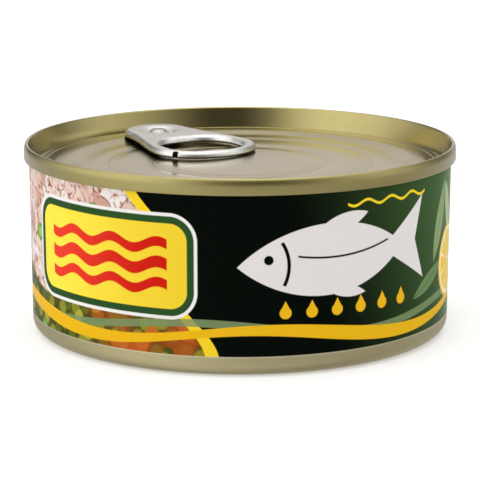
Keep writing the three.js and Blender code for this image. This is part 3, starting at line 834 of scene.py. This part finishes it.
ring_start = TAB_LONG - RING_LONG
flank = ring_start - NOSE_LONG
nose_side, ring_side = (NOSE_LONG, -NOSE_HALF), (ring_start, -RING_HALF)
outer_loop = mirrored(np.vstack([
    bezier((0, 0), (0, -ROUND_PULL * NOSE_HALF), (NOSE_LONG * (1 - ROUND_PULL), -NOSE_HALF), nose_side),
    bezier(nose_side, (NOSE_LONG + flank / 3, -FLANK_HALF), (ring_start - flank / 4, -RING_HALF), ring_side),
    bezier(
        ring_side, (ring_start + ROUND_PULL * RING_LONG, -RING_HALF),
        (TAB_LONG, -ROUND_PULL * RING_HALF), (TAB_LONG, 0),
    ),
    [(TAB_LONG, 0)],
]))
corner_pull = HOLE_CORNER * (1 - ROUND_PULL)
corner_end, round_start = (HOLE_START + HOLE_CORNER, -HOLE_HALF), (HOLE_ROUND, -HOLE_HALF)
finger_loop = mirrored(np.vstack([
    [(HOLE_START, 0.0), (HOLE_START, -0.5), (HOLE_START, -1.0), (HOLE_START, -1.5)],
    bezier(
        (HOLE_START, -HOLE_HALF + HOLE_CORNER), (HOLE_START, -HOLE_HALF + corner_pull),
        (HOLE_START + corner_pull, -HOLE_HALF), corner_end,
    ),
    bezier(
        corner_end, (HOLE_START + HOLE_CORNER + HOLE_EASE, -HOLE_HALF),
        (HOLE_ROUND - HOLE_EASE, -HOLE_HALF), round_start,
    ),
    bezier(
        round_start, (HOLE_ROUND + ROUND_PULL * (HOLE_END - HOLE_ROUND), -HOLE_HALF),
        (HOLE_END, -ROUND_PULL * HOLE_HALF), (HOLE_END, 0),
    ),
    [(HOLE_END, 0)],
]))
RIVET_HOLE, HOLE_STEPS = 2.0, 48
SLOT_IN, SLOT_OUT, SLOT_TURN, SLOT_STEPS = 2.85, 3.3, 1.25, 30
rivet_loop = rivet_arc(RIVET_HOLE, np.arange(HOLE_STEPS) * 2 * math.pi / HOLE_STEPS)
slot_turns = np.linspace(-SLOT_TURN, SLOT_TURN, SLOT_STEPS)
slot_loop = np.vstack([rivet_arc(SLOT_OUT, slot_turns), rivet_arc(SLOT_IN, slot_turns)[::-1]])

# The notch replaces the stretch of the outline that lies beside its middle
NOTCH_ANGLE, NOTCH_HALF, NOTCH_DEPTH, NOTCH_TAPER = -1.03, 0.55, 0.6, 0.35
NOTCH_STEPS, NOTCH_SPAN, NOTCH_CLEAR = 7, 2.0, 0.06
notch_edge = np.array([ring_start + RING_LONG * math.cos(NOTCH_ANGLE), RING_HALF * math.sin(NOTCH_ANGLE)])
notch_out = np.array([RING_HALF * math.cos(NOTCH_ANGLE), RING_LONG * math.sin(NOTCH_ANGLE)])
notch_out /= np.linalg.norm(notch_out)
notch_side = np.array([-notch_out[1], notch_out[0]])
from_notch = outer_loop - notch_edge
clear_beside = np.abs(from_notch @ notch_side) > NOTCH_HALF + NOTCH_CLEAR
clear_along = np.abs(from_notch @ notch_out) > NOTCH_SPAN
kept_places = np.flatnonzero(clear_beside | clear_along)
gap_at = np.flatnonzero(np.diff(kept_places) > 1)[0]
before, after = outer_loop[kept_places[:gap_at + 1]], outer_loop[kept_places[gap_at + 1:]]
notch_walls = [(deep, -1) for deep in np.linspace(0, 1, NOTCH_STEPS)]
notch_walls += [(deep, 1) for deep in np.linspace(1, 0, NOTCH_STEPS)]
notch_path = np.array([
    notch_edge - notch_out * NOTCH_DEPTH * deep + notch_side * NOTCH_HALF * wall * (1 - NOTCH_TAPER * deep)
    for deep, wall in notch_walls
])
if np.linalg.norm(notch_path[0] - before[-1]) > np.linalg.norm(notch_path[-1] - before[-1]):
    notch_path = notch_path[::-1]
notched_loop = np.vstack([before, notch_path, after])


def point_distance(points, others):
    """Distance from each point to the nearest of some others."""
    return np.sqrt(((points[:, None] - others[None]) ** 2).sum(2)).min(1)


def loop_distance(points, loop):
    """Distance from each point to a closed loop of straight steps."""
    start, stop = loop, np.roll(loop, -1, axis=0)
    along = stop - start
    span = np.maximum((along ** 2).sum(1), TINY)
    off = points[:, None, :] - start[None]
    t = np.clip((off * along).sum(2) / span, 0, 1)
    return np.sqrt(((off - t[..., None] * along) ** 2).sum(2)).min(1)


def within(points, loop):
    """True for the points that a loop holds."""
    x, y = points[:, 0][:, None], points[:, 1][:, None]
    ax, ay = loop[:, 0][None], loop[:, 1][None]
    bx, by = np.roll(loop[:, 0], -1)[None], np.roll(loop[:, 1], -1)[None]
    crosses = (ay > y) != (by > y)
    reach_x = (bx - ax) * (y - ay) / np.where(by == ay, TINY, by - ay) + ax
    return (crosses & (x < reach_x)).sum(1) % 2 == 1


def smooth(low, high, value):
    t = np.clip((value - low) / (high - low), 0, 1)
    return t * t * (3 - 2 * t)


HEM, HEM_TUCK, HEM_LOW, HEM_UNDER = 1.0, 0.3, -0.62, 0.2
HALF_THICK = TAB_THICK / 2
NOSE_DROP, NOSE_REACH = 0.2, 16.0
DISH_MIDDLE, DISH_LONG, DISH_WIDE, DISH_SLOPE, DISH_EDGE = 7.1, 4.5, 4.7, 0.48, 0.1
WEB_RISE, WEB_EDGE = 0.35, (1.1, 1.7)
SLOT_EDGE, EDGE_WORN = 0.14, 0.10


def tab_levels(points):
    """Upper and lower level of the ring pull at each point of its plan."""
    hem = np.minimum(loop_distance(points, outer_loop), loop_distance(points, finger_loop))
    equator = HEM_LOW - NOSE_DROP * (1 - smooth(0, NOSE_REACH, points[:, 0]))
    swell = np.clip(1 - hem / HEM, 0, 1)
    upper = equator + (HALF_THICK - equator) * np.sqrt(1 - swell ** 2)
    tuck = np.clip(1 - hem / HEM_TUCK, 0, 1)
    lower = equator - HEM_UNDER * np.sqrt(1 - tuck ** 2)
    oval = np.sqrt(((points[:, 0] - DISH_MIDDLE) / DISH_LONG) ** 2 + (points[:, 1] / DISH_WIDE) ** 2)
    upper -= DISH_DEPTH * smooth(0.0, DISH_SLOPE, 1 - oval)
    lower += WEB_RISE * smooth(*WEB_EDGE, hem) * (1 - smooth(-DISH_EDGE, DISH_EDGE, 1 - oval))
    cut = np.minimum(loop_distance(points, rivet_loop), loop_distance(points, slot_loop))
    cut = np.minimum(cut, point_distance(points, notch_path))
    worn = EDGE_WORN * (1 - smooth(0, SLOT_EDGE, cut))
    return upper - worn, lower + worn


def inset(loop, amount, outwards):
    """Places at a distance inside the metal from a loop, left out where another stretch is nearer."""
    ahead = np.roll(loop, -1, axis=0) - np.roll(loop, 1, axis=0)
    ahead /= np.maximum(np.linalg.norm(ahead, axis=1), 1e-9)[:, None]
    side = np.stack([-ahead[:, 1], ahead[:, 0]], axis=1)
    turn_area = (loop[:, 0] * np.roll(loop[:, 1], -1) - np.roll(loop[:, 0], -1) * loop[:, 1]).sum()
    if (turn_area > 0) == outwards:
        side = -side
    moved = loop + side * amount
    return moved[loop_distance(moved, loop) > amount * 0.985]


# Rows of points follow each edge over its hem, and an even spread of points fills what lies between
HEM_TURNS = np.radians([14, 28, 42, 56, 70, 90])
CLOSE_CLEAR, SPREAD_CLEAR = 0.1, 0.15
SPREAD_START, ROW_PITCH, EDGE_GAP = 0.2, 0.87, 0.45
loops = [notched_loop, finger_loop, rivet_loop, slot_loop]
rings = []
for hem_turn in HEM_TURNS:
    rings.append(inset(outer_loop, HEM * (1 - math.cos(hem_turn)), False))
    rings.append(inset(finger_loop, HEM * (1 - math.cos(hem_turn)), True))
for small in (SLOT_EDGE / 2, SLOT_EDGE):
    rings.append(inset(rivet_loop, small, True))
    rings.append(inset(slot_loop, small, True))
close = np.vstack(rings)
close = close[within(close, notched_loop)]
close = close[point_distance(close, notch_path) > CLOSE_CLEAR]
spread_x, spread_y = np.meshgrid(
    np.arange(SPREAD_START, TAB_LONG, STEP),
    np.arange(-RING_HALF, RING_HALF, STEP * ROW_PITCH),
)
spread_x = spread_x + (np.arange(spread_x.shape[0]) % 2)[:, None] * STEP / 2
spread = np.stack([spread_x.ravel(), spread_y.ravel()], axis=1)
spread = spread[within(spread, notched_loop)]
for hole in (finger_loop, rivet_loop, slot_loop):
    spread = spread[~within(spread, hole)]
for edge_loop, margin in (
    (outer_loop, HEM), (finger_loop, HEM), (rivet_loop, SLOT_EDGE), (slot_loop, SLOT_EDGE),
):
    spread = spread[loop_distance(spread, edge_loop) > margin + STEP * EDGE_GAP]
spread = spread[point_distance(spread, notch_path) > SPREAD_CLEAR]
plan = np.vstack(loops + [close, spread])
loop_edges = []
first = 0
for loop in loops:
    loop_edges += [(first + i, first + (i + 1) % len(loop)) for i in range(len(loop))]
    first += len(loop)
plan_points, _, plan_faces, _, _, _ = delaunay_2d_cdt([Vector(p) for p in plan], loop_edges, [], 0, 1e-5)
plan_points = np.array([tuple(p) for p in plan_points])
triangles = np.array([tuple(f) for f in plan_faces])
middles = plan_points[triangles].mean(1)
solid = within(middles, notched_loop)
for hole in (finger_loop, rivet_loop, slot_loop):
    solid &= ~within(middles, hole)
triangles = triangles[solid]

# The upper and lower sheets share one plan, and an upright face closes each edge that has one triangle
upper, lower = tab_levels(plan_points)
corners = np.vstack([np.column_stack([plan_points, upper]), np.column_stack([plan_points, lower])])
count = len(plan_points)
faces = [tuple(t) for t in triangles] + [tuple(t[::-1] + count) for t in triangles]
sides = dict.fromkeys(edge for a, b, c in triangles for edge in ((a, b), (b, c), (c, a)))
for a, b in sides:
    if (b, a) not in sides:
        faces.append((b, a, a + count, b + count))
set_place = (
    Matrix.Translation(nose)
    @ Matrix.Rotation(TAB_AZIMUTH, 4, "Z")
    @ Matrix.Rotation(TAB_TILT, 4, "Y")
)
tab_mesh = bpy.data.meshes.new("ring_pull")
tab_mesh.from_pydata([tuple((set_place @ Vector(p)) * MM) for p in corners], [], faces)
tab_shape = bmesh.new()
tab_shape.from_mesh(tab_mesh)
bmesh.ops.remove_doubles(tab_shape, verts=tab_shape.verts, dist=2e-6)
bmesh.ops.dissolve_degenerate(tab_shape, edges=tab_shape.edges, dist=1e-7)
loose = [v for v in tab_shape.verts if not v.link_faces]
bmesh.ops.delete(tab_shape, geom=loose, context="VERTS")
tab_shape.to_mesh(tab_mesh)
tab_shape.free()

# Bright metal: rolled lengthwise and lightly scuffed on top, with painted shade below the hem and in the
# notch
BRIGHT, BRIGHT_SHADE = (0.89, 0.875, 0.85, 1.0), (0.80, 0.785, 0.76, 1.0)
SHADOWED, NOTCH_PAINTED_SHADE = (0.045, 0.042, 0.036, 1.0), (0.012, 0.012, 0.012, 1.0)
SHADOW_RISE, SHADOW_SOFT = 0.16, 0.2
NOTCH_SIDE_SPILL, NOTCH_END_SPILL, NOTCH_SOFT = 0.04, 0.08, 0.06
bright, bright_tree, tab_mm = new_finish("bright_metal")
tab_turned = node(
    bright_tree, "ShaderNodeMapping", {"vector_type": "TEXTURE"}, tab_mm,
    Rotation=(0.0, 0.0, TAB_AZIMUTH), Scale=(9.0, 1.0, 1.0),
).outputs[0]
tab_local = node(
    bright_tree, "ShaderNodeMapping", {"vector_type": "TEXTURE"}, tab_mm,
    Location=nose, Rotation=(0.0, TAB_TILT, TAB_AZIMUTH),
).outputs[0]
local_x, local_y, local_z = axes(bright_tree, tab_local)
rolling = noise(bright_tree, tab_turned, scale=2.4, detail=3.0)
scuff = noise(bright_tree, tab_mm, scale=1.1, detail=2.0)
equator_level = HEM_LOW - NOSE_DROP * (1 - rising(local_x, 0.0, NOSE_REACH))
# Painted shade: the hem's lower side is coloured near black up to a little above its equator, standing in for
# the shadowed gap over the panel
underside_painted_shade = cover(local_z - equator_level - SHADOW_RISE, SHADOW_SOFT)
notch_x, notch_y = local_x - float(notch_edge[0]), local_y - float(notch_edge[1])
notch_across = abs(notch_x * float(notch_side[0]) + notch_y * float(notch_side[1]))
notch_inward = -(notch_x * float(notch_out[0]) + notch_y * float(notch_out[1]))
# Painted shade: the walls of the notch's hollow are coloured near black
beside_notch = cover(notch_across - NOTCH_HALF - NOTCH_SIDE_SPILL, NOTCH_SOFT)
notch_painted_shade = beside_notch * cover(notch_inward - NOTCH_DEPTH - NOTCH_END_SPILL, NOTCH_SOFT)
tab_colour = blend(rising(scuff, *NOISE_SPREAD), BRIGHT, BRIGHT_SHADE)
tab_colour = blend(underside_painted_shade, tab_colour, SHADOWED)
tab_colour = blend(notch_painted_shade, tab_colour, NOTCH_PAINTED_SHADE)
set_shader(bright_tree, {
    "Base Color": tab_colour,
    "Roughness": 0.27 + 0.08 * rising(rolling, 0.35, 0.7) + 0.05 * rising(scuff, 0.5, 0.8),
    "Normal": bump(bright_tree, strength=0.2, distance=0.00002, relief=rolling + scuff * 0.8),
    "Metallic": 1.0,
})
tab_mesh.materials.append(bright)
tab = piece_of("ring_pull", tab_mesh)
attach(tab, "root")
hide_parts("pull_tab")
